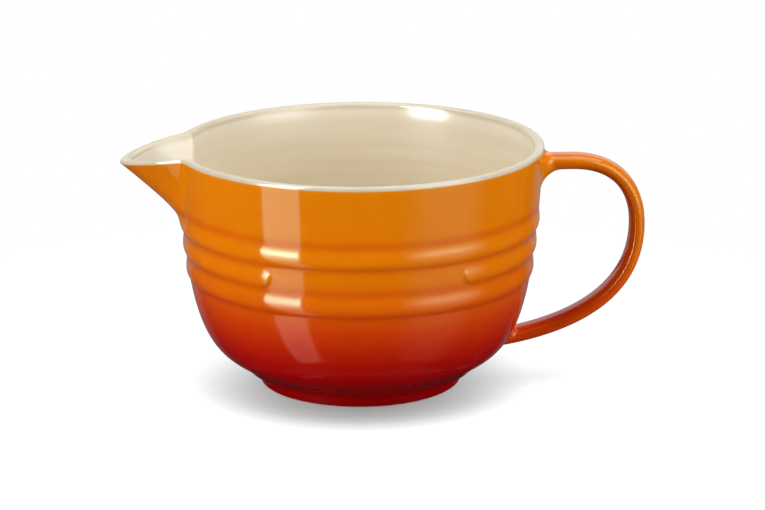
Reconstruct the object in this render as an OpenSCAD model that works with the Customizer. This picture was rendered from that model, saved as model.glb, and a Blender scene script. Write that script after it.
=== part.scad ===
// Stoneware batter bowl with a pouring beak, a strap handle and three relief ribs.
// Millimetres. +Z is up, the beak points to -X and the handle to +X.
// The origin is on the bowl's axis, in the plane that the foot stands on.
// The clay wall is turned about that axis. Over a wedge around -X the wall is left out
// above the upper valley of the ribs, and the beak's own shell fills that wedge.

/* [Bowl] */
// Outer diameter at the rim
rim_d = 184; // [176:1:200]
// Height of the rim above the table
bowl_h = 122.3; // [118.3:1:134.3]
// Wall thickness, glaze included
wall_t = 5.3; // [4.4:0.1:6.4]
// How much narrower the radius is just above the ribs than at the rim
wall_lean = 2.3; // [1:0.1:4]
// Thickness of the floor
floor_t = 5; // [4:0.5:6.5]
// Rounding of the rim's two shoulders
rim_round = 1.6; // [1:0.1:1.8]

/* [Ribs] */
// Height of the lower edge of the lowest rib
rib_z = 56.1; // [51.3:0.2:58.5]
// Height of one rib
rib_h = 12.1; // [10:0.1:12.6]
// How far a rib swells out between its two valleys
rib_swell = 0.95; // [0.4:0.05:1.4]
// How much the radius steps in from one valley to the next
rib_step = 1.4; // [0.6:0.05:1.8]
// Angle of the blank plate at the front, where the middle rib is left out
plate_angle = 67; // [30:1:110]

/* [Foot] */
// Outer diameter of the foot ring at its top
foot_d = 103.4; // [95:0.2:110]
// Height of the foot ring, bare clay included
foot_h = 8; // [6.5:0.1:8.6]
// How much the foot ring's outside leans in from its top down
foot_lean = 1.3; // [0.6:0.1:2]
// Width of the foot ring
foot_w = 7; // [5:0.5:9]
// Height of the bare ring of clay that touches the table
bare_h = 0.6; // [0.5:0.1:1]

/* [Beak] */
// How far the tip of the beak stands out from the rim
beak_out = 28.6; // [20:0.2:32]
// Half of the angle that the beak takes up at the rim
beak_half_angle = 18.5; // [15:0.5:20]
// How far above the middle rib the beak starts to leave the wall
beak_rise = 2.3; // [1.9:0.2:10.9]
// How much lower the lip is at the tip than the rim
lip_dip = 6.6; // [3:0.2:9]
// Thickness of the beak's wall
beak_t = 4; // [3.6:0.1:4.8]

/* [Handle] */
// Distance from the rim to the middle of the strap at its outermost point
handle_out = 47.4; // [42:0.2:56]
// How far the middle of the strap lies below the rim where it leaves the wall
handle_drop = 11.1; // [10.6:0.1:15]
// How far the strap's outermost point lies below the rim
handle_mid_drop = 44; // [41:0.5:49]
// Height of the middle of the strap where it comes back to the wall
handle_low_z = 20.2; // [19.2:0.1:26]
// Width of the strap
strap_w = 15.5; // [12:0.5:18]
// Thickness of the strap
strap_t = 7.6; // [6:0.2:8.6]
// Fillet radius on top of the upper root
fillet_top = 7; // [4:0.5:8]
// Fillet radius under the upper root
fillet_under = 11.5; // [9:0.5:14]
// Fillet radius on the sides of both roots
fillet_side = 6; // [3:0.5:8]
// Fillet radius in the crook above the lower root
fillet_crook = 5; // [3:0.5:7]

/* [Glaze] */
// Thickness of the cream lining
lining_t = 0.6; // [0.4:0.1:0.8]
// Height of the pale band on each side of the rim
band_h = 2; // [1.8:0.1:3]

/* [Hidden] */
$fn = 96;

// Radii and heights that follow from the sizes above
rim_r = rim_d / 2;
foot_r = foot_d / 2;
band_z = bowl_h - band_h;
floor_z = foot_h + floor_t;
valley_z = [for (i = [0:3]) rib_z + i * rib_h];
neck_r = rim_r - wall_lean;
valley_r = [for (i = [0:3]) neck_r - (3 - i) * rib_step];
rib_steps = 10;
// A rib is fullest low down and ends a little below its upper valley. The shares are of its height
crest_share = 0.32;
rib_top_share = 0.9;
crest_power = 0.83;
// The round end of a rib is a little larger than the rib, so that it meets both valleys at a corner
rib_end_share = 1.06;

// The belly is one curve from the lowest rib down to the foot
crease_share = 0.107;
crease_r = foot_r * (1 + crease_share);
belly_angle = 9.1;
crease_angle = 55;
belly_shares = [0.79, 0.39];
belly_steps = 18;

// The inside curve ends on a flat floor
inside_share = 0.55;
flat_floor_share = 0.8;

// The beak. The shares are those of the lip's run between rim and tip
seam_z = valley_z[2];
beak_z = seam_z + beak_rise;
seam_share = 1.35;
seam_angle = beak_half_angle * seam_share;
foot_angle_share = 0.5;
beak_bow_share = 0.07;
corner_share = 0.1;
nose_share = 0.18;
hinge_share = 0.24;
dip_shares = [0.7, 0.3];
tip_wall_share = 1.5;
beak_in = beak_out + wall_t - tip_wall_share * beak_t;
beak_cols = 30;
beak_rows = 10;
col_power = 1.4;

// The strap's middle line runs straight out of the wall, then bends in two curves that meet
// at its outermost point. The shares say how far the curves keep their direction
bend_shares = [0.69, 0.56];
run_shares = [0.59, 0.58];
run_angle = 9.9;
straight_share = 0.3;
bend_steps = 14;
run_steps = 16;
oval_power = 2.5;
oval_points = 24;
root_steps = 9;
root_power = 1.6;
// Where the belly's slope carries the wall into the crook, as a share of the strap's half
crook_share = 0.75;

// Overrun for cuts, as a share of the wall
cut_share = 0.5;
cut = wall_t * cut_share;

function bezier(p, t) = pow(1 - t, 3) * p[0] + 3 * t * pow(1 - t, 2) * p[1]
    + 3 * t * t * (1 - t) * p[2] + pow(t, 3) * p[3];
function backwards(p) = [for (i = [len(p) - 1:-1:0]) p[i]];
function without_first(p) = [for (i = [1:len(p) - 1]) p[i]];

// Profiles are lists of [radius, height]

// How full a rib is at a share t of its height
function rib_shape(t) = t < crest_share ? pow(sin(90 * t / crest_share), crest_power)
    : t < rib_top_share ? (1 + cos(180 * (t - crest_share) / (rib_top_share - crest_share))) / 2 : 0;
// One rib from valley i up to valley i + 1, without its upper end
function rib_arc(i, swell) =
    let (a = [valley_r[i], valley_z[i]], b = [valley_r[i + 1], valley_z[i + 1]], d = b - a,
         out = [d.y, -d.x] / norm(d))
    [for (k = [0:rib_steps - 1]) let (t = k / rib_steps) a + t * d + swell * rib_shape(t) * out];

belly_reach = belly_shares[1] * (valley_r[0] - crease_r);
belly_ctrl = [[crease_r, foot_h],
    [crease_r, foot_h] + belly_reach * [cos(crease_angle), sin(crease_angle)],
    [valley_r[0], rib_z] - belly_shares[0] * rib_z * [sin(belly_angle), cos(belly_angle)],
    [valley_r[0], rib_z]];
belly = [for (k = [0:belly_steps - 1]) bezier(belly_ctrl, k / belly_steps)];

// Radius of the outside at a height above the ribs
function wall_r(z) = neck_r + wall_lean * (z - valley_z[3]) / (bowl_h - valley_z[3]);
// Radius of the inside at a height above the lowest rib's foot, d deep in the lining
function inside_r(z, d) = let (low = valley_r[0] - wall_t, high = rim_r - wall_t)
    low + (high - low) * (z - rib_z) / (bowl_h - rib_z) + d;

// The rim's top from its outside at ro over to its inside at ri, d below the glaze
function rim_top(ro, ri, top, d) = let (c = rim_round - d, n = 4) concat(
    [[ro - d, top - band_h]],
    [for (k = [0:n]) [ro - rim_round + c * cos(90 * k / n), top - rim_round + c * sin(90 * k / n)]],
    [for (k = [0:n]) [ri + rim_round - c * sin(90 * k / n), top - rim_round + c * cos(90 * k / n)]],
    [[ri + d, top - band_h]]);

inside_low_r = valley_r[0] - wall_t;
inside_ctrl = [[inside_low_r, rib_z],
    [inside_low_r, rib_z] - inside_share * rib_z * [sin(belly_angle), cos(belly_angle)],
    [crease_r + floor_t / tan(crease_angle), floor_z],
    [flat_floor_share * crease_r, floor_z]];
// The inside from the pale band down to the floor's middle
function inside(d) = let (c = [for (i = [0:3]) inside_ctrl[i] + (i < 2 ? [d, 0] : [0, -d])]) concat(
    [[inside_r(band_z, d), band_z]],
    [for (k = [0:belly_steps]) bezier(c, k / belly_steps)],
    [[0, floor_z - d]]);

function outside(middle_swell) = concat(belly, rib_arc(0, rib_swell), rib_arc(1, middle_swell),
    rib_arc(2, rib_swell), [[neck_r, valley_z[3]], [wall_r(band_z), band_z]]);

// The beak: how far it stands out at an angle from its middle, for a share q of its height

// A corner that opens into a line, rounded within a share k of it
function soft(s, k) = s > k ? s : s < -k ? 0 : (s + k) * (s + k) / (4 * k);
// A line from 0 to 1 that starts level, rounded within a share k of it
function eased(u, k) = (sqrt(u * u + k * k) - k) / (sqrt(1 + k * k) - k);
function beak_plan(u) = let (v = eased(u, nose_share))
    min(1, soft(1 - v, corner_share) + beak_bow_share * sin(180 * min(v, 1)));
function beak_side(q) = q <= 0 ? 0 : eased(q, hinge_share);
function beak_half(q) = beak_half_angle * (foot_angle_share + (1 - foot_angle_share) * sqrt(max(q, 0)));
function beak_share(a, q) = beak_side(q) * beak_plan(abs(a) / beak_half(q));
function height_share(z) = max(0, (z - beak_z) / (bowl_h - beak_z));
function lip_drop(a) = let (p = beak_plan(abs(a) / beak_half_angle))
    lip_dip * (dip_shares[0] * p + dip_shares[1] * p * p);
function dropped(a, z) = z - lip_drop(a) * height_share(z);

// Heights at which the beak's shell is worked out, from the seam up to the pale band
beak_z_out = concat([for (p = rib_arc(2, rib_swell)) p.y],
    [for (k = [0:beak_rows]) valley_z[3] + (band_z - valley_z[3]) * k / beak_rows]);
beak_r_out = concat([for (p = rib_arc(2, rib_swell)) p.x],
    [for (k = [0:beak_rows]) wall_r(valley_z[3] + (band_z - valley_z[3]) * k / beak_rows)]);
beak_z_in = [for (k = [0:beak_rows + rib_steps]) seam_z + (band_z - seam_z) * k / (beak_rows + rib_steps)];

function beak_outside(a) = [for (i = [0:len(beak_z_out) - 1]) let (z = beak_z_out[i])
    [beak_r_out[i] + beak_out * beak_share(a, height_share(z)), dropped(a, z)]];
function beak_inside(a, d) = [for (z = backwards(beak_z_in))
    [inside_r(z, d) + beak_in * beak_share(a, height_share(z)), dropped(a, z)]];
function beak_top(a, d) = rim_top(
    wall_r(band_z) + beak_out * beak_share(a, height_share(band_z)),
    inside_r(band_z, 0) + beak_in * beak_share(a, height_share(band_z)),
    dropped(a, band_z) + band_h, d);

// Angles of the columns, closer together near the tip
beak_angles = [for (k = [-beak_cols / 2:beak_cols / 2])
    let (s = abs(k) / (beak_cols / 2)) (k < 0 ? -1 : 1) * seam_angle * pow(s, col_power)];
function beak_point(a, p) = [-p.x * cos(a), p.x * sin(a), p.y];

// A closed solid through rings of equally many points. Each patch is split along its
// shorter diagonal, so that two solids that share a face share its triangles too. An end is
// closed by strips between the two halves of its ring, which suits a bent wall's section
module loft(rings) {
    m = len(rings[0]);
    n = len(rings);
    points = [for (r = rings) each r];
    sides = [for (j = [0:n - 2]) for (i = [0:m - 1]) let (a = j * m + i, b = j * m + (i + 1) % m)
        each norm(points[a] - points[b + m]) < norm(points[b] - points[a + m])
            ? [[a, b, b + m], [a, b + m, a + m]] : [[a, b, a + m], [b, b + m, a + m]]];
    strips = [for (i = [0:ceil(m / 2) - 2]) let (j = m - 1 - i)
        each i + 1 < j - 1 ? [[i, i + 1, j - 1], [i, j - 1, j]] : [[i, j - 1, j]]];
    first_end = [for (t = strips) [t[2], t[1], t[0]]];
    last_end = [for (t = strips) [for (i = t) (n - 1) * m + i]];
    polyhedron(points, concat(sides, first_end, last_end), convexity = 6);
}

// Cuts the beak's wedge out of what is turned about the axis
module without_wedge() {
    far = rim_r + beak_out;
    difference() {
        children();
        translate([0, 0, seam_z])
            linear_extrude(bowl_h)
                polygon([[0, 0], far * [-1, tan(seam_angle)], far * [-1, -tan(seam_angle)]]);
    }
}

// The middle rib is left out over the plate, and stops at both ends of it in half rounds
module middle_rib() {
    end_angle = rib_h / 2 / valley_r[1] * 180 / PI;
    start = plate_angle / 2 + end_angle;
    far = 2 * rim_r;
    difference() {
        rotate_extrude()
            polygon(concat(rib_arc(1, rib_swell), [[valley_r[2], valley_z[2]],
                [valley_r[2] - cut, valley_z[2]], [valley_r[1] - cut, valley_z[1]]]));
        difference() {
            translate([0, 0, rib_z])
                linear_extrude(3 * rib_h)
                    polygon([[0, 0], far * [-sin(start), -cos(start)], far * [sin(start), -cos(start)]]);
            for (side = [-1, 1])
                rotate([0, 0, side * start - 90])
                    translate([valley_r[1] - 2 * cut, 0, (valley_z[1] + valley_z[2]) / 2])
                        rotate([0, 90, 0])
                            cylinder(d = rib_end_share * rib_h, h = 4 * cut);
        }
    }
}

module bowl_wall() {
    color("darkorange")
        without_wedge()
            union() {
                rotate_extrude()
                    polygon(concat([[0, foot_h]], outside(0),
                        rim_top(wall_r(band_z), inside_r(band_z, 0), bowl_h, lining_t),
                        without_first(inside(lining_t))));
                middle_rib();
            }
}

module foot_ring() {
    color("firebrick")
        rotate_extrude()
            polygon([[foot_r - foot_w, bare_h], [foot_r - foot_lean, bare_h],
                [foot_r, foot_h], [foot_r - foot_w, foot_h]]);
}

module bare_ring() {
    r = foot_r - foot_lean;
    color("tan")
        rotate_extrude()
            polygon([[foot_r - foot_w + bare_h, 0], [r - 2 * bare_h, 0], [r - bare_h, bare_h],
                [foot_r - foot_w + bare_h, bare_h]]);
}

module beak() {
    color("darkorange")
        loft([for (a = beak_angles)
            [for (p = concat(beak_outside(a), beak_top(a, lining_t),
                without_first(beak_inside(a, lining_t))))
                beak_point(a, p)]]);
}

// The handle's own places
handle_top_z = bowl_h - handle_drop;
handle_mid_z = bowl_h - handle_mid_drop;
top_x = wall_r(handle_top_z);
low_x = lookup(handle_low_z, [for (p = belly) [p.y, p.x]]);
out_x = rim_r + handle_out;
root_len = max(fillet_under, fillet_top, fillet_side, fillet_crook);
root_into = 2 * wall_t;
bend_x = max(rim_r + straight_share * handle_out, top_x + root_len);
bend_ctrl = [[bend_x, handle_top_z], [bend_x + bend_shares[0] * (out_x - bend_x), handle_top_z],
    [out_x, handle_mid_z + bend_shares[1] * (handle_top_z - handle_mid_z)], [out_x, handle_mid_z]];
run_reach = run_shares[1] * (out_x - low_x);
run_ctrl = [[out_x, handle_mid_z], [out_x, handle_mid_z - run_shares[0] * (handle_mid_z - handle_low_z)],
    [low_x, handle_low_z] + run_reach * [cos(run_angle), sin(run_angle)], [low_x, handle_low_z]];
run_end = 1 - root_len / (3 * run_reach);

// Where a fillet of radius r stands out, s away from the wall
function fillet(r, s) = s >= r ? 0 : r - sqrt(max(s, 0) * (2 * r - s));

// An oval ring round the middle line at p, square to the direction a. The edges are how far
// it reaches to the loop's outside, to its inside and to the sides
function oval_ring(p, a, outer, inner, side) = [for (k = [0:oval_points - 1])
    let (f = 360 * k / oval_points, c = cos(f), s = sin(f),
         h = (s > 0 ? outer : inner) * sign(s) * pow(abs(s), 2 / oval_power))
    [p.x - h * sin(a), side * sign(c) * pow(abs(c), 2 / oval_power), p.y + h * cos(a)]];
function strap_ring(p, a) = oval_ring(p, a, strap_t / 2, strap_t / 2, strap_w / 2);
function heading(ctrl, t) = let (step = 0.001, d = bezier(ctrl, t) - bezier(ctrl, t - step))
    atan2(d.y, d.x);

// Distances from the wall at which a root's rings lie, closer together at the wall
root_runs = concat([-root_into], [for (k = [0:root_steps]) root_len * pow(k / root_steps, root_power)]);
function upper_ring(s) = oval_ring([top_x + s, handle_top_z], 0,
    min(strap_t / 2 + fillet(fillet_top, s), band_z - band_h / 2 - handle_top_z),
    strap_t / 2 + fillet(fillet_under, s), strap_w / 2 + fillet(fillet_side, s));
function lower_ring(s) = let (t = 1 - max(s, 0) / root_len * (1 - run_end), a = heading(run_ctrl, t))
    oval_ring(bezier(run_ctrl, t) - min(s, 0) * [cos(a), sin(a)], a, strap_t / 2,
        strap_t / 2 + fillet(fillet_crook, s - crook_share * strap_t / 2),
        strap_w / 2 + fillet(fillet_side, s));

// The whole outside of the bowl, filled, which cuts the roots to the wall
module bowl_solid() {
    rotate_extrude()
        polygon(concat([[0, foot_h]], outside(rib_swell), [[rim_r, bowl_h], [0, bowl_h]]));
}

module handle_strap() {
    color("darkorange")
        loft(concat([upper_ring(root_len)],
            [for (k = [bend_x > top_x + root_len ? 0 : 1:bend_steps]) let (t = k / bend_steps)
                strap_ring(bezier(bend_ctrl, t), heading(bend_ctrl, t))],
            [for (k = [1:run_steps]) let (t = run_end * k / run_steps)
                strap_ring(bezier(run_ctrl, t), heading(run_ctrl, t))]));
}

module upper_root() {
    color("darkorange")
        difference() {
            loft([for (s = root_runs) upper_ring(s)]);
            bowl_solid();
        }
}

module lower_root() {
    color("orangered")
        difference() {
            loft([for (s = backwards(root_runs)) lower_ring(s)]);
            bowl_solid();
        }
}

module bowl_lining() {
    color("cornsilk")
        without_wedge()
            rotate_extrude()
                polygon(concat(inside(0), backwards(inside(lining_t))));
}

module beak_lining() {
    color("cornsilk")
        loft([for (a = beak_angles)
            [for (p = concat(beak_inside(a, 0), backwards(beak_inside(a, lining_t)))) beak_point(a, p)]]);
}

module rim_band() {
    ro = wall_r(band_z);
    ri = inside_r(band_z, 0);
    color("ivory")
        rotate([0, 0, seam_angle - 180])
            rotate_extrude(angle = 360 - 2 * seam_angle)
                polygon(concat(rim_top(ro, ri, bowl_h, 0), backwards(rim_top(ro, ri, bowl_h, lining_t))));
}

module lip_band() {
    color("ivory")
        loft([for (a = beak_angles)
            [for (p = concat(beak_top(a, 0), backwards(beak_top(a, lining_t)))) beak_point(a, p)]]);
}

bowl_wall();
foot_ring();
bare_ring();
beak();
handle_strap();
upper_root();
lower_root();
bowl_lining();
beak_lining();
rim_band();
lip_band();
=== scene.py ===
# The looks of the batter bowl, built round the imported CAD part, and the light it stands in.
import math
import bpy
import numpy as np
from mathutils import Matrix, Vector


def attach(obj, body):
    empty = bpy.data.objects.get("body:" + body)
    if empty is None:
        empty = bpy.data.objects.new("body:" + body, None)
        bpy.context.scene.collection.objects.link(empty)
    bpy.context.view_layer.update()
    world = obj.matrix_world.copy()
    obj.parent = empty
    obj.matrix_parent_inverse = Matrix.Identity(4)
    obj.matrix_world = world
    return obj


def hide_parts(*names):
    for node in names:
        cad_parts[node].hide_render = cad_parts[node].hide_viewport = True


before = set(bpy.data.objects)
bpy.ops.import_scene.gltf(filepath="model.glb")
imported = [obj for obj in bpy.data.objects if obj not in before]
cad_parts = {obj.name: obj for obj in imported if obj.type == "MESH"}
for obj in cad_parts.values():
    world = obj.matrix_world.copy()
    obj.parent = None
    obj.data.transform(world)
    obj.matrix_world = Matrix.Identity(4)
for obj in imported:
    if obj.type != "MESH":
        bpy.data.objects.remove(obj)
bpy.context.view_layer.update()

# Metres in a millimetre. The object's sizes are in millimetres and degrees, the stage's in metres
M = 0.001

# Sizes of the CAD source. RIB_SWELL is 0.15 more and PLATE_ANGLE 4 less than there, after the photograph
RIM_R = 92.0
BOWL_H = 122.3
WALL_T = 5.3
WALL_LEAN = 2.3
FLOOR_T = 5.0
RIM_ROUND = 1.6
RIB_Z = 56.1
RIB_H = 12.1
RIB_SWELL = 1.1
RIB_STEP = 1.4
PLATE_ANGLE = 63.0
FOOT_R = 51.7
FOOT_H = 8.0
FOOT_LEAN = 1.3
FOOT_W = 7.0
BARE_H = 0.6
BEAK_OUT = 28.6
BEAK_HALF = 18.5
BEAK_RISE = 2.3
LIP_DIP = 6.6
BEAK_T = 4.0
HANDLE_OUT = 47.4
HANDLE_DROP = 11.1
HANDLE_MID_DROP = 44.0
LOW_Z = 20.2
STRAP_W = 15.5
STRAP_T = 7.6
BAND_H = 2.0

# Shares and angles of the CAD source's curves
CREASE_SHARE = 1.107
CREASE_ANGLE = 55
BELLY_ANGLE = 9.1
BELLY_SHARES = (0.79, 0.39)
INSIDE_SHARE = 0.55
FLAT_FLOOR_SHARE = 0.8
CREST_SHARE = 0.32
CREST_POWER = 0.83
RIB_FALL_SHARE = 0.58
SEAM_SHARE = 1.35
TIP_WALL_SHARE = 1.5
NOSE_SHARE = 0.18
CORNER_SHARE = 0.1
BOW_SHARE = 0.07
FOOT_ANGLE_SHARE = 0.5
HINGE_SHARE = 0.24
DIP_SHARES = (0.7, 0.3)
BEND_SHARES = (0.69, 0.56)
RUN_SHARES = (0.59, 0.58)
RUN_ANGLE = 9.9
STRAIGHT_SHARE = 0.3
OVAL = 2 / 2.5

# Finer forms that only the scene has

# The inside flares out a little below the rim
FLARE_OUT = 0.8
FLARE_H = 8.0
# The width of the rim's inner rounding, and how much of it the curve keeps level
RIM_INNER = 2.6
RIM_INNER_PULL = 0.45
# Over what width the middle rib's ends rise, and how far beyond its valleys they are smoothed
PLATE_EDGE = 1.4
PLATE_MARGIN = 1.5
# The corners of the foot ring's flared top: how far out from FOOT_R and how far down from FOOT_H
FOOT_FLARE = [(-0.2, 2.6), (0.7, 1.2), (3.0, -0.3)]
# How far the foot ring reaches up into the belly, and the belly's skin in over the foot ring
FOOT_OVERLAP = 0.3
BELLY_OVERLAP = 1.0
# How far the bare ring reaches up into the glaze, and how far in its lower edge is from the foot ring's
BARE_TUCK = 0.4
BARE_IN = 1.2
# Radii of the strap's roots on its outer face, its inner face and its sides
TOP_FILLET = (5.0, 11.5, 6)
LOW_FILLET = (4.5, 5, 6)

# Steps of the meshes
CURVE_POINTS = 120
RIB_POINTS = 60
RIM_POINTS = 9
FLARE_POINTS = 12
OUTSIDE_STEP = 0.5
OUTSIDE_SOFT = 0.45
INSIDE_STEP = 1.5
BASE_STEP = 2
BEAK_COLUMNS = 170
WALL_COLUMNS = 380

# What follows from the sizes
TOP_Z = BOWL_H - HANDLE_DROP
MID_Z = BOWL_H - HANDLE_MID_DROP
BAND_Z = BOWL_H - BAND_H
FLOOR_Z = FOOT_H + FLOOR_T
NECK_R = RIM_R - WALL_LEAN
VALLEY_Z = [RIB_Z + i * RIB_H for i in range(4)]
VALLEY_R = [NECK_R - (3 - i) * RIB_STEP for i in range(4)]
BEAK_Z = VALLEY_Z[2] + BEAK_RISE
SEAM_ANGLE = BEAK_HALF * SEAM_SHARE
BEAK_IN = BEAK_OUT + WALL_T - TIP_WALL_SHARE * BEAK_T
CREASE_R = FOOT_R * CREASE_SHARE
INSIDE_LOW = VALLEY_R[0] - WALL_T


# Lines

def bezier(p, t):
    """Points at the shares t of a cubic curve."""
    p = np.asarray(p, float)
    t = np.asarray(t, float)[..., None]
    return (1 - t) ** 3 * p[0] + 3 * t * (1 - t) ** 2 * p[1] + 3 * t * t * (1 - t) * p[2] + t ** 3 * p[3]


def direction(degrees):
    return np.array([math.cos(math.radians(degrees)), math.sin(math.radians(degrees))])


def line_run(points):
    """The distance along a line at each of its points."""
    return np.concatenate([[0], np.cumsum(np.linalg.norm(np.diff(points, axis=0), axis=1))])


def even(points, step):
    """The same line with points at even steps."""
    points = np.asarray(points, float)
    run = line_run(points)
    s = np.linspace(0, run[-1], max(2, int(round(run[-1] / step)) + 1))
    return np.column_stack([np.interp(s, run, points[:, k]) for k in range(points.shape[1])])


def softened(points, width):
    """Rounds a line's corners by a running mean with a bell's weights; the ends stay."""
    step = np.linalg.norm(points[1] - points[0])
    n = int(math.ceil(3 * width / step))
    weights = np.exp(-0.5 * (np.arange(-n, n + 1) * step / width) ** 2)
    weights /= weights.sum()
    head = 2 * points[0] - points[n:0:-1]
    tail = 2 * points[-1] - points[-2:-n - 2:-1]
    padded = np.vstack([head, points, tail])
    return np.column_stack([np.convolve(padded[:, k], weights, "valid") for k in range(points.shape[1])])


# Profiles, as lists of radius and height

CREASE = np.array([CREASE_R, FOOT_H])
BELLY_TOP = np.array([VALLEY_R[0], RIB_Z])
BELLY = [CREASE,
         CREASE + BELLY_SHARES[1] * (VALLEY_R[0] - CREASE_R) * direction(CREASE_ANGLE),
         BELLY_TOP - BELLY_SHARES[0] * RIB_Z * direction(90 - BELLY_ANGLE),
         BELLY_TOP]
INSIDE_TOP = np.array([INSIDE_LOW, RIB_Z])
INSIDE = [INSIDE_TOP,
          INSIDE_TOP - INSIDE_SHARE * RIB_Z * direction(90 - BELLY_ANGLE),
          np.array([CREASE_R + FLOOR_T / math.tan(math.radians(CREASE_ANGLE)), FLOOR_Z]),
          np.array([FLAT_FLOOR_SHARE * CREASE_R, FLOOR_Z])]


def wall_r(z):
    """The outside's radius above the ribs."""
    return NECK_R + WALL_LEAN * (z - VALLEY_Z[3]) / (BOWL_H - VALLEY_Z[3])


def inside_r(z):
    """The inside's radius, which opens a little more just under the rim."""
    flare = FLARE_OUT * np.maximum(0, (z - BOWL_H + FLARE_H) / FLARE_H) ** 2
    return INSIDE_LOW + (RIM_R - WALL_T - INSIDE_LOW) * (z - RIB_Z) / (BOWL_H - RIB_Z) + flare


def rib_line(i, swell):
    """One rib from its lower valley to its upper one."""
    a = np.array([VALLEY_R[i], VALLEY_Z[i]])
    d = np.array([VALLEY_R[i + 1], VALLEY_Z[i + 1]]) - a
    out = np.array([d[1], -d[0]]) / np.linalg.norm(d)
    t = np.linspace(0, 1, RIB_POINTS)[:, None]
    below = np.sin(np.pi / 2 * np.minimum(t / CREST_SHARE, 1)) ** CREST_POWER
    above = (1 + np.cos(np.pi * np.clip((t - CREST_SHARE) / RIB_FALL_SHARE, 0, 1))) / 2
    return a + t * d + swell * np.where(t < CREST_SHARE, below, above) * out


def outside_line(middle_swell):
    """From inside the foot's crease up to the pale band, with rounded valleys."""
    line = np.vstack([
        [[FOOT_R - BELLY_OVERLAP, FOOT_H]],
        bezier(BELLY, np.linspace(0, 1, CURVE_POINTS)),
        rib_line(0, RIB_SWELL)[1:],
        rib_line(1, middle_swell)[1:],
        rib_line(2, RIB_SWELL)[1:],
        [[wall_r(BAND_Z), BAND_Z]]])
    return softened(even(line, OUTSIDE_STEP), OUTSIDE_SOFT)


def rim_line():
    """From the outside of the pale band over the rim to its inside."""
    ro, ri = wall_r(BAND_Z), inside_r(BAND_Z)
    q = np.radians(np.linspace(0, 90, RIM_POINTS))
    shoulder_z = BOWL_H - RIM_ROUND + RIM_ROUND * np.sin(q)
    shoulder = np.column_stack([ro - RIM_ROUND + RIM_ROUND * np.cos(q), shoulder_z])
    slope = 2 * FLARE_OUT * (FLARE_H - BAND_H) / FLARE_H ** 2
    inner_side = bezier([[ri + RIM_INNER, BOWL_H], [ri + RIM_INNER_PULL * RIM_INNER, BOWL_H],
                         [ri + BAND_H / 2 * slope, BAND_Z + BAND_H / 2], [ri, BAND_Z]],
                        np.linspace(0, 1, FLARE_POINTS))
    return np.vstack([[[ro, BAND_Z]], shoulder, inner_side])


def inside_line():
    """From the inside of the pale band down to the middle of the floor."""
    z = np.linspace(BAND_Z, BOWL_H - FLARE_H, FLARE_POINTS)
    flare = np.column_stack([inside_r(z), z])
    curve = bezier(INSIDE, np.linspace(0, 1, CURVE_POINTS))
    return even(np.vstack([flare, curve, [[0.0, FLOOR_Z]]]), INSIDE_STEP)


# The beak's shape, over an angle a from its middle and a share q of its height

def soft(s, k):
    """A corner that opens into a line, rounded within a share k of it."""
    return np.where(s > k, s, np.where(s < -k, 0, (s + k) ** 2 / (4 * k)))


def eased(u, k):
    """A line from 0 to 1 that starts level, rounded within a share k of it."""
    return (np.sqrt(u * u + k * k) - k) / (math.sqrt(1 + k * k) - k)


def beak_plan(u):
    """How far the lip stands out at a share u of the beak's half, seen from above."""
    v = eased(u, NOSE_SHARE)
    return np.minimum(1, soft(1 - v, CORNER_SHARE) + BOW_SHARE * np.sin(np.pi * np.minimum(v, 1)))


def beak_share(a, q):
    """How far the beak stands out, as a share of what its tip does."""
    q = np.maximum(q, 0)
    half = BEAK_HALF * (FOOT_ANGLE_SHARE + (1 - FOOT_ANGLE_SHARE) * np.sqrt(q))
    return np.where(q > 0, eased(q, HINGE_SHARE), 0) * beak_plan(np.abs(a) / half)


def lip_drop(a):
    """How much lower the lip is than the rim."""
    p = beak_plan(np.abs(a) / BEAK_HALF)
    return LIP_DIP * (DIP_SHARES[0] * p + DIP_SHARES[1] * p * p)


def height_share(z):
    """The share q at a height z."""
    return np.maximum(0, (z - BEAK_Z) / (BOWL_H - BEAK_Z))


# Columns round the bowl, in degrees from -X, close together over the beak
COLUMNS = np.concatenate([
    np.linspace(-SEAM_ANGLE, SEAM_ANGLE, BEAK_COLUMNS + 1)[:-1],
    np.linspace(SEAM_ANGLE, 360 - SEAM_ANGLE, WALL_COLUMNS)[:-1]])
COLUMNS = np.where(COLUMNS > 180, COLUMNS - 360, COLUMNS)


def turned(line, kind):
    """Points of a turned surface, column by column, drawn out over the beak."""
    a = COLUMNS[:, None]
    r = line[None, :, 0] + 0 * a
    z = line[None, :, 1] + 0 * a
    if kind == "rim":
        q = height_share(BAND_Z)
        share = beak_share(a, q)
        ro, ri = wall_r(BAND_Z), inside_r(BAND_Z)
        r = np.where(r > (ro + ri) / 2, ro + BEAK_OUT * share + r - ro, ri + BEAK_IN * share + r - ri)
    else:
        q = height_share(z)
        r = r + (BEAK_OUT if kind == "outside" else BEAK_IN) * beak_share(a, q)
    z = z - lip_drop(a) * q
    rad = np.radians(a)
    return np.stack([-r * np.cos(rad), r * np.sin(rad), z], axis=2)


# Meshes

def grid_mesh(name, points, wrap, flip=False, normals=None):
    """A mesh through columns of points, closed round if wrap is set."""
    n, m = points.shape[:2]
    faces = []
    for i in range(n if wrap else n - 1):
        a, b = i * m, (i + 1) % n * m
        for j in range(m - 1):
            face = (a + j, b + j, b + j + 1, a + j + 1)
            faces.append(face[::-1] if flip else face)
    mesh = bpy.data.meshes.new(name)
    mesh.from_pydata((points.reshape(-1, 3) * M).tolist(), [], faces)
    mesh.shade_smooth()
    if normals is not None:
        mesh.normals_split_custom_set_from_vertices(normals.reshape(-1, 3).tolist())
    obj = bpy.data.objects.new(name, mesh)
    bpy.context.scene.collection.objects.link(obj)
    return obj


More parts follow.
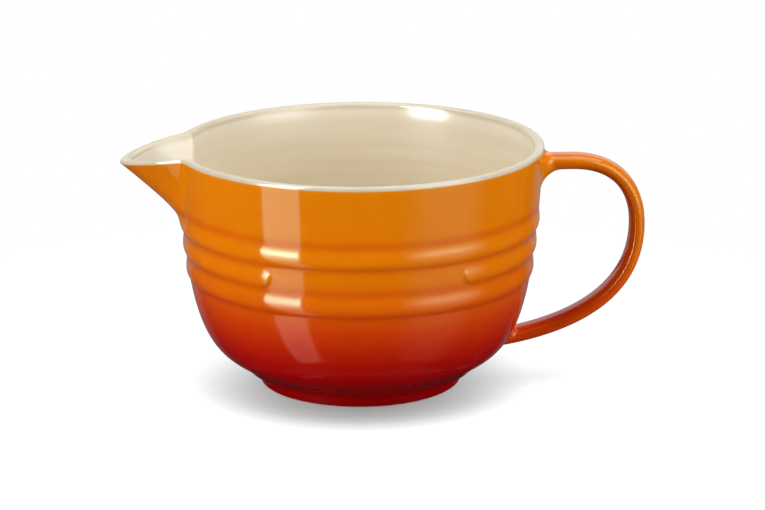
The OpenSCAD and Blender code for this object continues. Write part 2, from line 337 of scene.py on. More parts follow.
def grid_normals(points, flip=False):
    """The normals of a closed grid, so that pieces cut from it meet without a seam."""
    du = np.roll(points, -1, 0) - np.roll(points, 1, 0)
    n = np.cross(du, np.gradient(points, axis=1))
    n /= np.maximum(np.linalg.norm(n, axis=2, keepdims=True), 1e-12)
    return -n if flip else n


def write(obj, name, values):
    """Stores one number for each point of a mesh."""
    attribute = obj.data.attributes.new(name, "FLOAT", "POINT")
    attribute.data.foreach_set("value", np.ascontiguousarray(values, np.float32))


# The bowl, as one grid of columns and rows: up the outside, over the rim and down the inside

outer = outside_line(RIB_SWELL)
plate = outside_line(0.0)
rim = rim_line()
inner = inside_line()


def rib_kept(rows_z):
    """How much of the middle rib is kept at each column and row: none over the plate, at the front."""
    front = COLUMNS + 90
    front = np.where(front > 180, front - 360, front)
    end_angle = RIB_H / 2 / VALLEY_R[1] * 180 / math.pi
    along = (np.abs(front)[:, None] - PLATE_ANGLE / 2 - end_angle) * math.pi / 180 * VALLEY_R[1]
    across = np.abs(rows_z[None, :] - (VALLEY_Z[1] + VALLEY_Z[2]) / 2)
    full = np.clip((RIB_H / 2 - np.hypot(along, across)) / PLATE_EDGE, 0, 1)
    full = full * full * (3 - 2 * full)
    full = np.where(along < 0, full, 1)
    on_rib = (rows_z > VALLEY_Z[1] - PLATE_MARGIN) & (rows_z < VALLEY_Z[2] + PLATE_MARGIN)
    return np.where(on_rib[None, :], full, 1.0)


def outside_points():
    """The outside, with the middle rib left out over the plate."""
    points = turned(outer, "outside")
    plate_r = np.interp(outer[:, 1], plate[:, 1], plate[:, 0])[None, :]
    radius = plate_r + (outer[None, :, 0] - plate_r) * rib_kept(outer[:, 1])
    rad = np.radians(COLUMNS)[:, None]
    off_beak = np.abs(COLUMNS)[:, None] > SEAM_ANGLE
    points[:, :, 0] = np.where(off_beak, -radius * np.cos(rad), points[:, :, 0])
    points[:, :, 1] = np.where(off_beak, radius * np.sin(rad), points[:, :, 1])
    return points


whole = np.concatenate([outside_points(), turned(rim, "rim")[:, 1:], turned(inner, "inside")[:, 1:]], axis=1)
whole_normals = grid_normals(whole, flip=True)
# The rows where the pale band starts and ends, and those where the beak's seam crosses the outside and inside
START_ROW = len(outer) - 1
END_ROW = START_ROW + len(rim) - 1
SEAM_ROW = int(np.argmin(np.abs(outer[:, 1] - VALLEY_Z[2])))
IN_SEAM_ROW = END_ROW + int(np.argmin(np.abs(inner[:, 1] - VALLEY_Z[2])))

# How far each row lies from the pale band's border, in millimetres, and how deep in a valley between ribs,
# where the glaze pools and a shade is painted, a little above each valley, under the rib over it
POOL_AND_SHADE_RISE = 0.4
POOL_AND_SHADE_WIDTH = 2.2
profile = np.vstack([outer, rim[1:], inner[1:]])
profile_run = line_run(profile)
RIM_RUN = profile_run[END_ROW] - profile_run[START_ROW]
above_start = profile_run - profile_run[START_ROW]
past_end = profile_run - profile_run[END_ROW]
# The glaze's pooling and a painted shade in the valleys between ribs
row_pool_and_shade = np.zeros(len(profile))
for valley in VALLEY_Z:
    row_pool_and_shade[:START_ROW + 1] += np.exp(-((outer[:, 1] - valley - POOL_AND_SHADE_RISE) / POOL_AND_SHADE_WIDTH) ** 2)


def piece(name, cols, first_row, last_row, edge, wrap=False):
    """A piece of the grid, with what its glaze has to know at each point."""
    rows = np.arange(first_row, last_row + 1)
    normals = whole_normals[cols][:, rows]
    obj = grid_mesh(name, whole[cols][:, rows], wrap, flip=True, normals=normals)
    # How far the beak stands out here, which sets its painted shade outside and in its throat
    beak_shade = beak_share(COLUMNS[cols][:, None], height_share(profile[rows, 1])[None, :])
    write(obj, "edge", np.tile(edge[rows], len(cols)))
    write(obj, "pool_and_shade", np.tile(row_pool_and_shade[rows], len(cols)))
    write(obj, "beak_shade", beak_shade.ravel())
    return obj


all_cols = np.arange(len(COLUMNS))
beak_cols = np.arange(0, BEAK_COLUMNS + 1)
wall_cols = np.concatenate([np.arange(BEAK_COLUMNS, len(COLUMNS)), [0]])

belly_skin = piece("belly_skin", all_cols, 0, SEAM_ROW, -above_start, wrap=True)
wall_skin = piece("wall_skin", wall_cols, SEAM_ROW, START_ROW, -above_start)
beak_skin = piece("beak_skin", beak_cols, SEAM_ROW, START_ROW, -above_start)
rim_edge = piece("rim_edge", wall_cols, START_ROW, END_ROW, above_start)
lip_edge = piece("lip_edge", beak_cols, START_ROW, END_ROW, above_start)
upper_lining = piece("upper_lining", wall_cols, END_ROW, IN_SEAM_ROW, past_end)
lower_lining = piece("lower_lining", all_cols, IN_SEAM_ROW, whole.shape[1] - 1, past_end, wrap=True)
throat_lining = piece("throat_lining", beak_cols, END_ROW, IN_SEAM_ROW, past_end)


# The foot

def ring(name, line, width, step):
    """A closed ring turned round the axis, its corners rounded."""
    line = np.vstack([line, line[:1]])
    points = even(line, step)[:-1]
    n = len(points)
    points = softened(np.vstack([points, points, points]), width)[n:2 * n + 1]
    return grid_mesh(name, turned(points, "inside"), True, flip=True)


FOOT_IN = FOOT_R - FOOT_W
# The underside inside the foot ring, which it overlaps by a hair
BASE_OVERLAP = 0.05
base_line = even(np.array([[0.0, FOOT_H], [FOOT_IN + BASE_OVERLAP, FOOT_H]]), BASE_STEP)
base_skin = grid_mesh("base_skin", turned(base_line, "inside"), True, flip=True)
foot_corners = [[FOOT_R - FOOT_LEAN, BARE_H]]
foot_corners += [[FOOT_R + out, FOOT_H - down] for out, down in FOOT_FLARE]
foot_corners += [[FOOT_IN, FOOT_H + FOOT_OVERLAP], [FOOT_IN, BARE_H]]
foot_skin = ring("foot_skin", np.array(foot_corners), width=0.5, step=0.25)
foot_edge = ring("foot_edge", np.array([
    [FOOT_R - FOOT_LEAN - BARE_H, BARE_H + BARE_TUCK], [FOOT_IN + BARE_H, BARE_H + BARE_TUCK],
    [FOOT_IN + BARE_H, 0.0], [FOOT_R - FOOT_LEAN - BARE_IN, 0.0]]), width=0.12, step=0.1)

# The handle. Its middle line starts and ends inside the wall
TOP_START = 12
LOW_TAIL = 16
ROOT_LEN = 11.5
STRAP_STEP = 0.5
RUN_POINTS = 200
BELLY_SAMPLES = 400
HALVINGS = 40
STRAP_RINGS = 180
ROOT_RINGS = 19
SECTION_POINTS = 88
SECTION_SAMPLES = 2881
# How far along the strap, from either end, its skin is sure to be outside the wall
TOP_CLEAR = 26.0
LOW_CLEAR = 40.0
# The strap's inner face has a painted shade, darker and redder. It comes in over this many rings past
# each root. It has this share at the strap's sides, and grows by this much of the sine of the angle
# towards the inner face
INNER_RINGS = 25
INNER_SIDE = 0.35
INNER_TURN = 1.1

TOP_X = wall_r(TOP_Z)
belly_line = bezier(BELLY, np.linspace(0, 1, BELLY_SAMPLES))
LOW_X = float(np.interp(LOW_Z, belly_line[:, 1], belly_line[:, 0]))
OUT_X = RIM_R + HANDLE_OUT
BEND_X = max(RIM_R + STRAIGHT_SHARE * HANDLE_OUT, TOP_X + ROOT_LEN)
BEND = np.array([[BEND_X, TOP_Z], [BEND_X + BEND_SHARES[0] * (OUT_X - BEND_X), TOP_Z],
                 [OUT_X, MID_Z + BEND_SHARES[1] * (TOP_Z - MID_Z)], [OUT_X, MID_Z]])
RUN_REACH = RUN_SHARES[1] * (OUT_X - LOW_X)
RUN = np.array([[OUT_X, MID_Z], [OUT_X, MID_Z - RUN_SHARES[0] * (MID_Z - LOW_Z)],
                np.array([LOW_X, LOW_Z]) + RUN_REACH * direction(RUN_ANGLE), [LOW_X, LOW_Z]])
skin_z = outer[outer[:, 0] > CREASE_R, 1]
skin_r = outer[outer[:, 0] > CREASE_R, 0]


def middle_line():
    """The strap's middle line from inside the wall at the top to inside it at the bottom."""
    bend = bezier(BEND, np.linspace(0, 1, CURVE_POINTS))
    low = bezier(RUN, np.linspace(0, 1, RUN_POINTS))
    d = low[-1] - low[-2]
    tail = low[-1] + LOW_TAIL * d / np.linalg.norm(d)
    return even(np.vstack([[[TOP_X - TOP_START, TOP_Z]], bend, low[1:], [tail]]), STRAP_STEP)


mid = middle_line()
mid_run = line_run(mid)
mid_dir = np.gradient(mid, axis=0)
mid_dir /= np.linalg.norm(mid_dir, axis=1, keepdims=True)


def at(s):
    """The place and direction of the middle line at the distance s along it."""
    p = np.stack([np.interp(s, mid_run, mid[:, k]) for k in (0, 1)], -1)
    d = np.stack([np.interp(s, mid_run, mid_dir[:, k]) for k in (0, 1)], -1)
    return p, d / np.linalg.norm(d, axis=-1, keepdims=True)


def oval(phi):
    """The strap's section for a half width and a half thickness of one: its sideways and outward parts."""
    side, out = np.cos(phi), np.sin(phi)
    return np.sign(side) * np.abs(side) ** OVAL, np.sign(out) * np.abs(out) ** OVAL


def even_angles(count):
    """Angles whose points lie evenly round the strap's section."""
    phi = np.radians(np.linspace(0, 360, SECTION_SAMPLES))
    side, out = oval(phi)
    steps = np.hypot(np.diff(side) * STRAP_W, np.diff(out) * STRAP_T)
    run = np.concatenate([[0], np.cumsum(steps)])
    return np.interp(np.arange(count) / count * run[-1], run, phi)


PHI = even_angles(SECTION_POINTS)
side_part, out_part = oval(PHI)


def strap_point(s, grow):
    """Points round the strap at the distance s along it, grown outward by grow, each one number per angle."""
    p, d = at(s)
    height = STRAP_T / 2 * out_part + grow * np.sin(PHI)
    width = STRAP_W / 2 * side_part + grow * np.cos(PHI)
    return np.stack([p[..., 0] - height * d[..., 1], width, p[..., 1] + height * d[..., 0]], -1)


def outside_by(points):
    """How far points lie outside the bowl's skin, along the radius."""
    return np.hypot(points[..., 0], points[..., 1]) - np.interp(points[..., 2], skin_z, skin_r)


def wall_s(grow, top):
    """Where each line along the strap meets the skin, found by halving."""
    lo = np.full(len(PHI), 0.0 if top else mid_run[-1])
    hi = np.full(len(PHI), TOP_CLEAR if top else mid_run[-1] - LOW_CLEAR)
    for _ in range(HALVINGS):
        s = (lo + hi) / 2
        inside = outside_by(strap_point(s, grow)) < 0
        lo, hi = np.where(inside, s, lo), np.where(inside, hi, s)
    return (lo + hi) / 2


def fillet(outer_r, inner_r, side_r):
    """A root's radius at each angle, from those on the strap's outer face, its inner face and its sides."""
    outward = np.maximum(np.sin(PHI), 0) ** 2
    inward = np.maximum(-np.sin(PHI), 0) ** 2
    return outer_r * outward + inner_r * inward + side_r * np.cos(PHI) ** 2


def root_rings(radius, top):
    """Rings from the wall's skin along a root's rounding to the plain strap."""
    rings = []
    for theta in np.radians(np.linspace(0, 90, ROOT_RINGS)):
        grow = radius * (1 - math.sin(theta))
        away = radius * (1 - math.cos(theta))
        s = wall_s(grow, top) + (away if top else -away)
        rings.append((strap_point(s, grow), s))
    return rings


top_rings = root_rings(fillet(*TOP_FILLET), True)
low_rings = root_rings(fillet(*LOW_FILLET), False)
body_rings = []
for share in np.arange(1, STRAP_RINGS) / STRAP_RINGS:
    ring_s = top_rings[-1][1] * (1 - share) + low_rings[-1][1] * share
    body_rings.append(strap_point(ring_s, np.zeros(len(PHI))))
handle_rings = [r[0] for r in top_rings] + body_rings + [r[0] for r in low_rings[::-1]]
handle_grid = np.array(handle_rings).transpose(1, 0, 2)
handle_normals = grid_normals(handle_grid)


def strap_piece(name, first_row, last_row):
    """A piece of the handle, which knows where its inner face is."""
    rows = np.arange(first_row, last_row + 1)
    obj = grid_mesh(name, handle_grid[:, rows], True, normals=handle_normals[:, rows])
    # How far each point lies on the inner face, which sets the painted shade there
    inner_side = np.clip(INNER_SIDE - INNER_TURN * np.sin(PHI), 0, 1)
    near_root = np.minimum(rows, len(handle_rings) - 1 - rows)
    away = np.clip((near_root - ROOT_RINGS) / INNER_RINGS, 0, 1)
    write(obj, "inner", (inner_side[:, None] * away[None, :]).ravel())
    return obj


LOW_ROW = len(handle_rings) - ROOT_RINGS
upper_joint = strap_piece("upper_joint", 0, ROOT_RINGS - 1)
strap_skin = strap_piece("strap_skin", ROOT_RINGS - 1, LOW_ROW)
lower_joint = strap_piece("lower_joint", LOW_ROW, len(handle_rings) - 1)


# Materials

def linear(r, g, b):
    """A colour given in sRGB, from 0 to 255, as the shader wants it."""
    shares = [v / 255 for v in (r, g, b)]
    return tuple(v / 12.92 if v <= 0.04045 else ((v + 0.055) / 1.055) ** 2.4 for v in shares) + (1.0,)


def grey(level):
    return level, level, level, 1


# Colours in sRGB. The stops of a glaze are at heights in millimetres
ORANGE_STOPS = [
    (0, (138, 0, 3)), (10, (154, 0, 3)), (20, (168, 0, 4)), (28, (176, 10, 4)), (38, (190, 36, 3)),
    (48, (205, 60, 3)), (56, (212, 84, 2)), (64, (220, 104, 0)), (76, (226, 120, 0)), (122, (226, 126, 0))]
STRAP_STOPS = [
    (0, (196, 48, 0)), (22, (208, 68, 0)), (45, (212, 84, 0)), (62, (222, 106, 0)), (85, (222, 116, 0)),
    (122, (208, 112, 0))]
FOOT_STOPS = [(0, (140, 0, 3)), (8, (162, 0, 3))]
CREAM_STOPS = [(0, (206, 191, 157)), (60, (220, 207, 179)), (110, (223, 212, 190)), (122, (225, 217, 200))]
CLAY_STOPS = [(0.32, (150, 130, 104)), (0.45, (203, 188, 162)), (0.7, (222, 208, 184))]
# The tints of the highlights, which stay short of white on orange, as the strong colour under them does
ORANGE_TINT = (170, 250, 214)
ORANGE_SHINE = [(0, (255, 190, 170)), (35, (255, 215, 190)), (60, (205, 255, 225)), (70, ORANGE_TINT)]
STRAP_SHINE = [(0, (255, 235, 200)), (50, ORANGE_TINT)]
FOOT_SHINE = linear(255, 140, 125)
# Where the glaze pools in a valley, with a painted shade there as well, and the painted shade under the beak,
# on the strap's inner face and in the beak's throat
POOL_AND_SHADE_SHARE = 0.55
POOL_AND_SHADE_TINT = linear(240, 176, 140)
BEAK_SHADE_TINT = linear(246, 228, 200)
INNER_SHADE_TINT = linear(206, 150, 120)
THROAT_SHADE_TINT = linear(220, 223, 230)
# Faint colours strewn over a glaze, at shares of the noise
SPECKS = [(0.3, (251, 248, 246)), (0.7, (255, 255, 255))]
STREAKS = [(0.3, (238, 234, 226)), (0.7, (255, 255, 255))]
STREAK_SHARE = 0.5
RIM_SHADES = [(0.3, (244, 243, 240)), (0.7, (255, 255, 255))]
# The pale band's colour, and how the glazes beside it thin out, by the distance from it in millimetres
PALE = (203, 192, 170)
THIN_COLOUR = linear(226, 150, 40)
THIN_SHARE = 0.8
THIN_SPAN = 5
THIN_STOPS = [(0, (255, 255, 255)), (0.5, (120, 120, 120)), (2.2, (0, 0, 0))]
PALE_SPAN = 10
PALE_STOPS = [(0, (255, 255, 255)), (2, (110, 110, 110)), (6, (0, 0, 0))]
FAR_FROM_EDGE = 99.0
# The shine of the glazes and of bare clay. The foot is rubbed dull, and shines less than the wall
GLAZE_ROUGHNESS = 0.09
CREAM_ROUGHNESS = 0.22
RIM_ROUGHNESS = 0.14
FOOT_ROUGHNESS = 0.3
CLAY_ROUGHNESS = 0.75
UNEVEN_ROUGHNESS = 0.06
GLAZE_IOR = 1.42
FOOT_IOR = 1.25
# How widely the glazes' borders at the pale band wander, in millimetres
THIN_WANDER = 0.5
RIM_WANDER = 0.2
# The pale band's own border against the orange
RIM_STOPS = [(0, (222, 168, 96)), (0.25, PALE)]


class Recipe:
    """A material's nodes, added one by one."""

    def __init__(self, name):
        self.material = bpy.data.materials.new(name)
        self.material.use_nodes = True
        self.nodes, self.links = self.material.node_tree.nodes, self.material.node_tree.links
        self.shader = self.nodes["Principled BSDF"]
        self.out = self.nodes["Material Output"]

    def fill(self, socket, value):
        """Links a socket to an output, or sets it to a plain value."""
        if hasattr(value, "is_output"):
            self.links.new(value, socket)
        else:
            socket.default_value = value

    def add(self, kind, inputs=None, **settings):
        node = self.nodes.new("ShaderNode" + kind)
        for key, value in settings.items():
            setattr(node, key, value)
        for key, value in (inputs or {}).items():
            self.fill(node.inputs[key], value)
        return node

    def set(self, socket, value):
        """Gives one of the shader's inputs."""
        self.fill(self.shader.inputs[socket], value)

    def maths(self, operation, a, b):
        return self.add("Math", {0: a, 1: b}, operation=operation).outputs[0]

    def place(self):
        return self.add("TexCoord").outputs["Object"]

    def attribute(self, name):
        return self.add("Attribute", attribute_name=name).outputs["Fac"]

    def noise(self, scale, detail, stretch=None):
        """Noise from 0 to 1 with a feature size of 1 / scale metres."""
        where = self.place()
        if stretch:
            where = self.add("Mapping", {"Vector": where, "Scale": stretch}).outputs[0]
        return self.add("TexNoise", {"Vector": where, "Scale": scale, "Detail": detail}).outputs[0]

    def wander(self, value, width, scale, detail):
        """A value that noise moves up and down, by half the width each way."""
        level = self.maths("SUBTRACT", self.noise(scale, detail), 0.5)
        return self.maths("ADD", value, self.maths("MULTIPLY", level, width))

    def ramp(self, factor, stops, span=1.0, ease="LINEAR"):
        """A colour ramp, its stops given in the span's unit and in sRGB."""
        ramp = self.add("ValToRGB", {0: factor})
        ramp.color_ramp.interpolation = ease
        elements = ramp.color_ramp.elements
        while len(elements) > 1:
            elements.remove(elements[-1])
        for i, (stop, colour) in enumerate(stops):
            element = elements[0] if i == 0 else elements.new(stop / span)
            element.position = stop / span
            element.color = linear(*colour)
        return ramp.outputs[0]

    def mix(self, factor, a, b, blend="MIX"):
        mix = self.add("Mix", data_type="RGBA", blend_type=blend)
        for key, value in ((0, factor), (6, a), (7, b)):
            self.fill(mix.inputs[key], value)
        return mix.outputs[2]

    def tint(self, factor, colour, tint):
        """The colour, multiplied by a tint as far as the factor says."""
        return self.mix(factor, colour, tint, "MULTIPLY")

    def bump(self, height, strength, distance, normal=None):
        inputs = {"Height": height, "Strength": strength, "Distance": distance}
        if normal is not None:
            inputs["Normal"] = normal
        return self.add("Bump", inputs).outputs[0]


def height_factor(recipe, wander):
    """Height over the bowl's height, wandering by some millimetres as a sprayed glaze does."""
    z = recipe.add("SeparateXYZ", {0: recipe.place()}).outputs["Z"]
    return recipe.maths("DIVIDE", recipe.wander(z, wander * M, scale=16, detail=3), BOWL_H * M)


def glossy(recipe, roughness, ior=GLAZE_IOR):
    """The shine of a fired glaze, with its orange peel and slow waves."""
    recipe.set("Roughness", recipe.wander(roughness, UNEVEN_ROUGHNESS, scale=60, detail=3))
    recipe.set("IOR", ior)
    waves = recipe.bump(recipe.noise(scale=70, detail=1), strength=0.12, distance=0.0004)
    peel = recipe.bump(recipe.noise(scale=420, detail=1), strength=0.008, distance=0.0003, normal=waves)
    recipe.set("Normal", peel)


def sprayed_glaze(name, stops, shine, roughness=GLAZE_ROUGHNESS, ior=GLAZE_IOR):
    """The outside glaze: colour by height, darker where it pools and with painted shade in the valleys, under
    the beak and on the strap's inner face, thin and pale at the rim.
    """
    r = Recipe(name)
    height = height_factor(r, wander=3)
    colour = r.ramp(height, stops, BOWL_H)
    # Darker in the valleys: the glaze's pooling and a painted shade under each rib
    colour = r.tint(r.maths("MULTIPLY", r.attribute("pool_and_shade"), POOL_AND_SHADE_SHARE), colour, POOL_AND_SHADE_TINT)
    # Painted shade under the beak, more towards its tip
    colour = r.tint(r.attribute("beak_shade"), colour, BEAK_SHADE_TINT)
    # Painted shade, darker and redder, on the strap's inner face
    colour = r.tint(r.attribute("inner"), colour, INNER_SHADE_TINT)
    colour = r.tint(1.0, colour, r.ramp(r.noise(scale=120, detail=4), SPECKS))
    edge = r.wander(r.attribute("edge"), THIN_WANDER, scale=90, detail=2)
    thin = r.ramp(r.maths("MULTIPLY", edge, 1 / THIN_SPAN), THIN_STOPS, THIN_SPAN, "EASE")
    r.set("Base Color", r.mix(r.maths("MULTIPLY", thin, THIN_SHARE), colour, THIN_COLOUR))
    if isinstance(shine, list):
        shine = r.ramp(height, shine, BOWL_H)
    r.set("Specular Tint", shine)
    glossy(r, roughness, ior)
    return r.material


def cream_glaze(name):
    """The inside glaze, with the faint streaks of its turning, paler towards the rim, and with a painted
    shade in the beak's throat.
    """
    r = Recipe(name)
    colour = r.ramp(height_factor(r, wander=8), CREAM_STOPS, BOWL_H)
    streaks = r.ramp(r.noise(scale=9, detail=4, stretch=(1, 1, 16)), STREAKS)
    colour = r.tint(STREAK_SHARE, colour, streaks)
    # Painted shade in the beak's throat
    colour = r.tint(r.attribute("beak_shade"), colour, THROAT_SHADE_TINT)
    pale_part = r.ramp(r.maths("MULTIPLY", r.attribute("edge"), 1 / PALE_SPAN), PALE_STOPS, PALE_SPAN, "EASE")
    r.set("Base Color", r.mix(pale_part, colour, linear(*PALE)))
    glossy(r, CREAM_ROUGHNESS)
    return r.material


def rim_glaze(name):
    """The pale band, whose outer edge runs into the orange glaze."""
    r = Recipe(name)
    across = r.wander(r.attribute("edge"), RIM_WANDER, scale=90, detail=2)
    tone = r.ramp(r.maths("DIVIDE", across, RIM_RUN), RIM_STOPS, RIM_RUN)
    r.set("Base Color", r.tint(1.0, tone, r.ramp(r.noise(scale=50, detail=3), RIM_SHADES)))
    glossy(r, RIM_ROUGHNESS)
    return r.material


def bare_clay(name):
    """Unglazed stoneware, ground flat, with its speckle and grain."""
    r = Recipe(name)
    grain = r.noise(scale=700, detail=5)
    r.set("Base Color", r.ramp(grain, CLAY_STOPS))
    r.set("Roughness", CLAY_ROUGHNESS)
    r.set("Normal", r.bump(grain, strength=0.35, distance=0.0003))
    return r.material


orange = sprayed_glaze("orange_glaze", ORANGE_STOPS, ORANGE_SHINE)
foot_glaze = sprayed_glaze("foot_glaze", FOOT_STOPS, FOOT_SHINE, FOOT_ROUGHNESS, FOOT_IOR)
strap_glaze = sprayed_glaze("strap_glaze", STRAP_STOPS, STRAP_SHINE)
cream = cream_glaze("cream_glaze")
pale = rim_glaze("pale_band")
clay = bare_clay("bare_clay")

# Each piece with its material, the record's slot and the CAD node that it replaces
PARTS = [
    (belly_skin, orange, "orange_glaze", "bowl_wall"),
    (wall_skin, orange, "orange_glaze", "bowl_wall"),
    (base_skin, orange, "red_glaze", "bowl_wall"),
    (beak_skin, orange, "orange_glaze", "beak"),
    (rim_edge, pale, "pale_band", "rim_band"),
    (lip_edge, pale, "pale_band", "lip_band"),
    (upper_lining, cream, "cream_glaze", "bowl_lining"),
    (lower_lining, cream, "cream_glaze", "bowl_lining"),
    (throat_lining, cream, "cream_glaze", "beak_lining"),
    (foot_skin, foot_glaze, "red_glaze", "foot_ring"),
    (foot_edge, clay, "bare_clay", "bare_ring"),
    (upper_joint, orange, "orange_glaze", "upper_root"),
    (strap_skin, strap_glaze, "orange_glaze", "handle_strap"),
    (lower_joint, strap_glaze, "red_glaze", "lower_root")]
for obj, material, slot, node in PARTS:
    obj.data.materials.append(material)
    if "edge" not in obj.data.attributes:
        write(obj, "edge", np.full(len(obj.data.vertices), FAR_FROM_EDGE))
    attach(obj, "root")
    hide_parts(node)


# Stage, light and camera, in metres

# The photograph's camera looks along this turn of the bowl's own frame
TURN = Matrix.Rotation(math.radians(-3), 4, "Z")
FLOOR_CORNERS = [(-1.6, -1.0), (1.6, -1.0), (1.6, 2.2), (-1.6, 2.2)]
# The floor's grey as it lights the bowl and as it mirrors in it, and its matt share, which takes the shadow
FLOOR_GREY = 0.3
FLOOR_DARK = 0.04
FLOOR_MATT = 0.13
# The polish of the floor as it mirrors in the bowl
FLOOR_ROUGHNESS = 0.05
FLOOR_IOR = 1.6
FLOOR_SHINE = 0.35
# The floor's glow is this level less a share of its matt part, so that with the lamps both come to white
FLOOR_FULL = 1.02
MATT_SHARE = 0.62
# The shade close to the foot, which looks up and back, so that it lies in front
SHADE_REACH = 0.025
SHADE_POWER = 0.75
SHADE_LOOK = (0.04, 0.8, 0.6)
# The floor turns to plain white between these distances from the bowl's axis
WHITE_FROM = 0.18
WHITE_BY = 0.32
# How far inside the foot ring the floor is clear, in millimetres, so that the underside can be seen
CLEAR_IN = 1.5
WORLD_LEVEL = 0.2
WORLD_MIRRORED = 0.06
# The camera's lens as a focal length in pixels of the photograph, and its place and turn
FOCAL_PIXELS = 3068.4
PHOTO_WIDTH = 765
SENSOR = 36
CAMERA_PLACE = (0.0113, -1.483, 0.4793)
PITCH = 0.273
ROLL = -0.004


def sheet_mesh(name, corners, matrix):
    """A flat sheet for the stage."""
    mesh = bpy.data.meshes.new(name)
    mesh.from_pydata([(x, y, 0) for x, y in corners], [], [tuple(range(len(corners)))])
    sheet = bpy.data.objects.new(name, mesh)
    sheet.matrix_world = matrix
    bpy.context.scene.collection.objects.link(sheet)
    return sheet


def fade(recipe, value, near, far):
    """One at near and nought at far, with a smooth run between them."""
    inputs = {"Value": value, "From Min": near, "From Max": far, "To Min": 1.0, "To Max": 0.0}
    return recipe.add("MapRange", inputs, interpolation_type="SMOOTHSTEP").outputs[0]


def floor_material():
    """White to the camera, with the bowl's shadow, and clear from below; a polished table to other rays."""
    r = Recipe("floor")
    path = r.add("LightPath")
    r.set("Base Color", r.mix(path.outputs["Is Glossy Ray"], grey(FLOOR_GREY), grey(FLOOR_DARK)))
    r.set("Roughness", FLOOR_ROUGHNESS)
    r.set("IOR", FLOOR_IOR)
    r.set("Specular IOR Level", FLOOR_SHINE)
    matt = r.add("BsdfDiffuse", {"Color": grey(FLOOR_MATT)})
    look = r.add("CombineXYZ", dict(enumerate(SHADE_LOOK)))
    hollow = r.add("AmbientOcclusion", {"Distance": SHADE_REACH, "Normal": look.outputs[0]}, samples=8)
    shade = r.maths("POWER", hollow.outputs["AO"], SHADE_POWER)
    shade = r.maths("MULTIPLY", shade, FLOOR_FULL - MATT_SHARE * FLOOR_MATT)
    glow = r.add("Emission", {"Strength": shade})
    near = r.add("AddShader", {0: matt.outputs[0], 1: glow.outputs[0]})
    white = r.add("Emission", {"Strength": 1.0})
    distance = r.add("VectorMath", {0: r.place()}, operation="LENGTH").outputs["Value"]
    by_place = fade(r, distance, WHITE_FROM, WHITE_BY)
    seen = r.add("MixShader", {0: by_place, 1: white.outputs[0], 2: near.outputs[0]})
    table = r.add("MixShader", {0: path.outputs["Is Camera Ray"], 1: r.shader.outputs[0], 2: seen.outputs[0]})
    below = r.add("NewGeometry").outputs["Backfacing"]
    in_foot = r.maths("LESS_THAN", distance, (FOOT_R - FOOT_LEAN - CLEAR_IN) * M)
    clear = r.add("BsdfTransparent")
    open_here = r.maths("MAXIMUM", below, in_foot)
    both = r.add("MixShader", {0: open_here, 1: table.outputs[0], 2: clear.outputs[0]})
    r.links.new(both.outputs[0], r.out.inputs["Surface"])
    return r.material


def world_light():
    """Even light from all sides, dim where it is mirrored and white to the camera."""
    world = bpy.data.worlds.new("world")
    bpy.context.scene.world = world
    world.use_nodes = True
    nodes, links = world.node_tree.nodes, world.node_tree.links
    path = nodes.new("ShaderNodeLightPath")
    unseen = nodes.new("ShaderNodeMix")
    links.new(path.outputs["Is Glossy Ray"], unseen.inputs[0])
    unseen.inputs[2].default_value = WORLD_LEVEL
    unseen.inputs[3].default_value = WORLD_MIRRORED
    level = nodes.new("ShaderNodeMix")
    links.new(path.outputs["Is Camera Ray"], level.inputs[0])
    links.new(unseen.outputs[0], level.inputs[2])
    level.inputs[3].default_value = 1.0
    background = nodes["Background"]
    background.inputs["Color"].default_value = grey(1)
    links.new(level.outputs[0], background.inputs["Strength"])


def aimed(place, aim):
    """The place and turn of a lamp that looks at aim, in the camera's turn."""
    look = (Vector(aim) - Vector(place)).to_track_quat("-Z", "Y").to_matrix().to_4x4()
    return TURN @ Matrix.Translation(Vector(place)) @ look


def area(name, place, aim, size, radiance, diffuse=True, glossy=True):
    """A lamp of a given radiance."""
    data = bpy.data.lights.new(name, "AREA")
    data.shape = "RECTANGLE"
    data.size, data.size_y = size
    data.energy = radiance * math.pi * size[0] * size[1]
    lamp = bpy.data.objects.new(name, data)
    lamp.matrix_world = aimed(place, aim)
    lamp.visible_diffuse = diffuse
    lamp.visible_glossy = glossy
    bpy.context.scene.collection.objects.link(lamp)


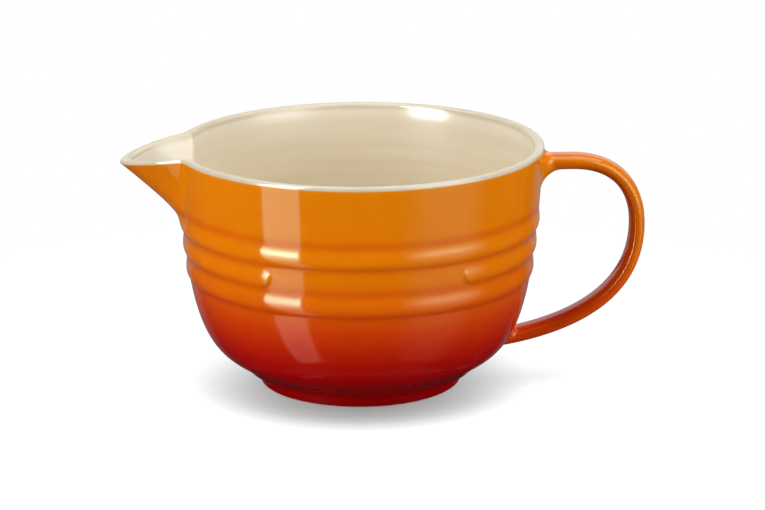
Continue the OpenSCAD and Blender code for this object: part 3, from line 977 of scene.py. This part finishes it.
def soft_box(name, place, aim, size, radiance, edge):
    """A box that is only mirrored, its light falling off over the width edge at its sides and ends."""
    w, h = size[0] / 2, size[1] / 2
    box = sheet_mesh(name, [(-w, -h), (w, -h), (w, h), (-w, h)], aimed(place, aim))
    r = Recipe(name)
    xyz = r.add("SeparateXYZ", {0: r.place()})
    across = r.maths("ABSOLUTE", xyz.outputs["X"], 0.0)
    along = r.maths("ABSOLUTE", xyz.outputs["Y"], 0.0)
    strength = r.maths("MULTIPLY", fade(r, across, w - edge[0], w), fade(r, along, h - edge[1], h))
    glow = r.add("Emission", {"Strength": r.maths("MULTIPLY", strength, radiance)})
    r.links.new(glow.outputs[0], r.out.inputs["Surface"])
    box.data.materials.append(r.material)
    box.visible_camera = False
    box.visible_diffuse = False
    box.visible_shadow = False


def camera():
    """The photograph's camera."""
    data = bpy.data.cameras.new("camera")
    data.sensor_width = SENSOR
    data.lens = FOCAL_PIXELS * SENSOR / PHOTO_WIDTH
    obj = bpy.data.objects.new("camera", data)
    tilt = Matrix.Rotation(math.pi / 2 - PITCH, 4, "X") @ Matrix.Rotation(ROLL, 4, "Z")
    obj.matrix_world = TURN @ Matrix.Translation(Vector(CAMERA_PLACE)) @ tilt
    bpy.context.scene.collection.objects.link(obj)
    bpy.context.scene.camera = obj


floor = sheet_mesh("floor", FLOOR_CORNERS, TURN)
floor.data.materials.append(floor_material())
world_light()
# The left strip box mirrors as the sharp band, the right box as the broad soft one
area("left_strip", (-0.83, -0.72, 0.85), aim=(0, 0, 0.85), size=(0.48, 1.7), radiance=32.0, diffuse=False)
area("left_fill", (-1.2, -0.9, 0.7), aim=(0, 0, 0.06), size=(1.2, 1.3), radiance=3.9, glossy=False)
area("right_fill", (1.4, -0.65, 0.65), aim=(0, 0, 0.06), size=(1.2, 1.2), radiance=4.1, glossy=False)
soft_box("right_box", (0.87, -0.6, 0.7), aim=(0, 0, 0.7), size=(1.35, 1.9), radiance=6.5, edge=(0.55, 0.2))
soft_box("back_wall", (0, 1.6, 0.55), aim=(0, 0, 0.55), size=(3.0, 1.1), radiance=0.85, edge=(0.6, 0.15))
area("top_box", (0, 0.3, 1.6), aim=(0, 0, 0), size=(1.8, 1.8), radiance=2.4)
camera()
bpy.context.scene.view_settings.view_transform = "Standard"

bpy.context.view_layer.update()
